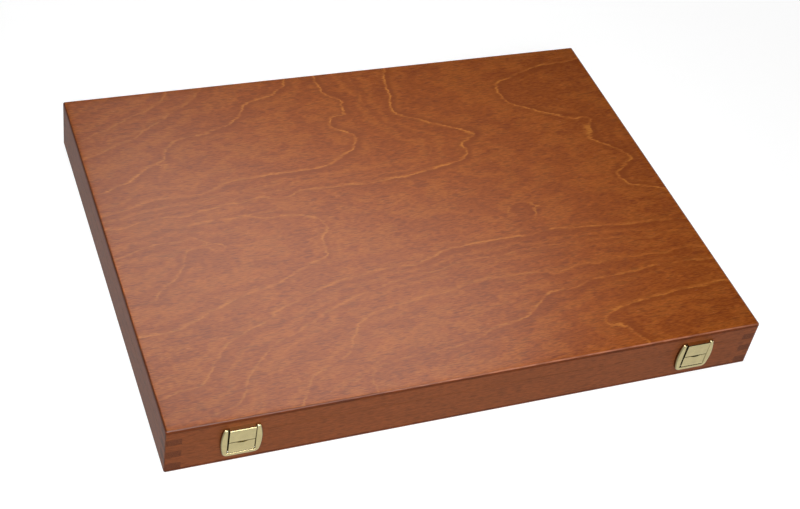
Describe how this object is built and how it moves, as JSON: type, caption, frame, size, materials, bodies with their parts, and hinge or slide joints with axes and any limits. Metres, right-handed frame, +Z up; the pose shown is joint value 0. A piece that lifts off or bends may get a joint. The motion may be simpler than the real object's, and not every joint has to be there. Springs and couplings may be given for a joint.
{
  "type": "wooden pastel storage box",
  "caption": "Flat wooden box for pastel sticks: finger-jointed case, hinged plywood lid, brass-plated snap catches, rows of grooved foam inside.",
  "frame": {"origin": "middle of the flat underside", "axes": "+X to the right along the long front side with the catches, +Y to the back where the hinges are, +Z up"},
  "size_m": [0.48, 0.3757, 0.0454],
  "materials": {
    "stained_board": "brown-stained hardwood board, satin varnish",
    "ply_panel": "brown-stained plywood with a rotary-cut face veneer, satin varnish",
    "plain_wood": "thin planed slat, unstained",
    "brass_plate": "pale brass plating, polished",
    "steel": "bright drawn wire",
    "foam": "dark charcoal open-cell foam, matt"
  },
  "bodies": {
    "base": {"base_front_board": "stained_board", "base_back_board": "stained_board", "base_left_board": "stained_board", "base_right_board": "stained_board", "base_bottom_panel": "ply_panel", "hinge_left_base_leaf": "brass_plate", "hinge_left_pin": "brass_plate", "hinge_right_base_leaf": "brass_plate", "hinge_right_pin": "brass_plate", "hinge_base_screws": "brass_plate", "catch_left_frame": "brass_plate", "catch_left_pin": "steel", "catch_right_frame": "brass_plate", "catch_right_pin": "steel", "catch_frame_screws": "brass_plate", "foam_insert_1": "foam", "foam_insert_2": "foam", "foam_insert_3": "foam", "foam_insert_4": "foam", "foam_insert_5": "foam", "divider_1": "plain_wood", "divider_2": "plain_wood", "divider_3": "plain_wood", "divider_4": "plain_wood"},
    "lid": {"lid_front_board": "stained_board", "lid_back_board": "stained_board", "lid_left_board": "stained_board", "lid_right_board": "stained_board", "lid_top_panel": "ply_panel", "hinge_left_lid_leaf": "brass_plate", "hinge_right_lid_leaf": "brass_plate", "hinge_lid_screws": "brass_plate", "catch_left_hook": "brass_plate", "catch_right_hook": "brass_plate", "catch_hook_screws": "brass_plate", "lid_pad": "foam"},
    "flap_left": {"catch_left_flap": "brass_plate", "catch_left_spring": "steel"},
    "flap_right": {"catch_right_flap": "brass_plate", "catch_right_spring": "steel"}
  },
  "joints": [
    {"name": "lid_hinge", "type": "hinge", "parent": "base", "child": "lid", "pos_m": [0, 0.186, 0.0293], "axis": [-1, 0, 0], "range_deg": [0, 180]},
    {"name": "catch_left_flap_pivot", "type": "hinge", "parent": "base", "child": "flap_left", "pos_m": [-0.185, -0.18555, 0.0139], "axis": [1, 0, 0], "range_deg": [0, 75], "stiffness_Nm_per_rad": 0.01, "springref_deg": -20.05},
    {"name": "catch_right_flap_pivot", "type": "hinge", "parent": "base", "child": "flap_right", "pos_m": [0.185, -0.18555, 0.0139], "axis": [1, 0, 0], "range_deg": [0, 75], "stiffness_Nm_per_rad": 0.01, "springref_deg": -20.05}
  ]
}
